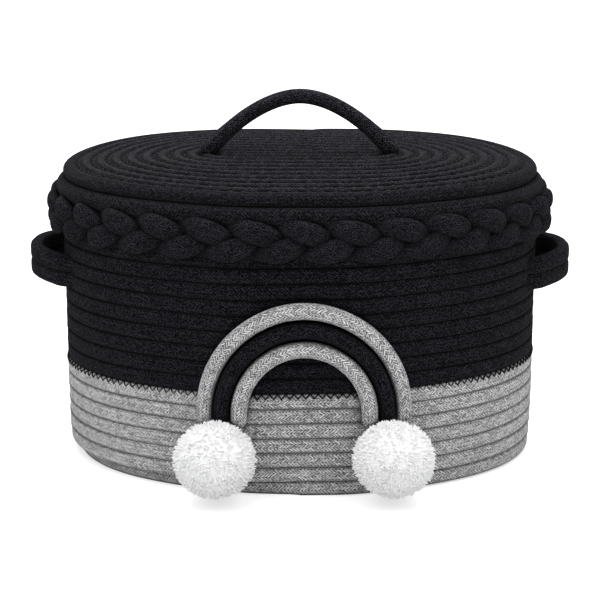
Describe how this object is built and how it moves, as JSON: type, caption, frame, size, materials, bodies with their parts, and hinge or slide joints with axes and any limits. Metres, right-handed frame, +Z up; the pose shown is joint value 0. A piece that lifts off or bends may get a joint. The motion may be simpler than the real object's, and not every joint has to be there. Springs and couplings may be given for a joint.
{
  "type": "knitting basket",
  "caption": "Oval basket with a lift-off lid, coiled from cotton rope, with a braid round the lid, rope handles, and a rope rainbow with pom-poms on its front.",
  "frame": {"origin": "on the floor under the middle of the oval base", "axes": "+X along the oval, to the right of someone who faces the rainbow; the rainbow faces -Y; +Z up"},
  "size_m": [0.3274, 0.2515, 0.2201],
  "materials": {
    "grey_cotton": "matte",
    "black_cotton": "matte",
    "light_grey_cotton": "matte",
    "white_yarn": "matte"
  },
  "bodies": {
    "basket": {"base_coil": "grey_cotton", "wall_coil_grey": "grey_cotton", "wall_coil_black": "black_cotton", "side_handle_left_lower_rope": "black_cotton", "side_handle_left_upper_rope": "black_cotton", "side_handle_right_lower_rope": "black_cotton", "side_handle_right_upper_rope": "black_cotton", "rainbow_outer_rope": "light_grey_cotton", "rainbow_middle_rope": "black_cotton", "rainbow_inner_rope": "light_grey_cotton", "pom_pom_left": "white_yarn", "pom_pom_right": "white_yarn"},
    "lid": {"lid_coil": "black_cotton", "braid_strand_a": "black_cotton", "braid_strand_b": "black_cotton", "braid_strand_c": "black_cotton"},
    "lid_handle": {"lid_handle": "black_cotton"}
  },
  "joints": [
    {"name": "lid_lift", "type": "slide", "parent": "basket", "child": "lid", "axis": [0, 0, 1], "range_m": [0, 0.12]},
    {"name": "lid_handle_tilt", "type": "hinge", "parent": "lid", "child": "lid_handle", "pos_m": [0, 0, 0.1885], "axis": [1, 0, 0], "range_deg": [-40, 40], "stiffness_Nm_per_rad": 0.02}
  ]
}
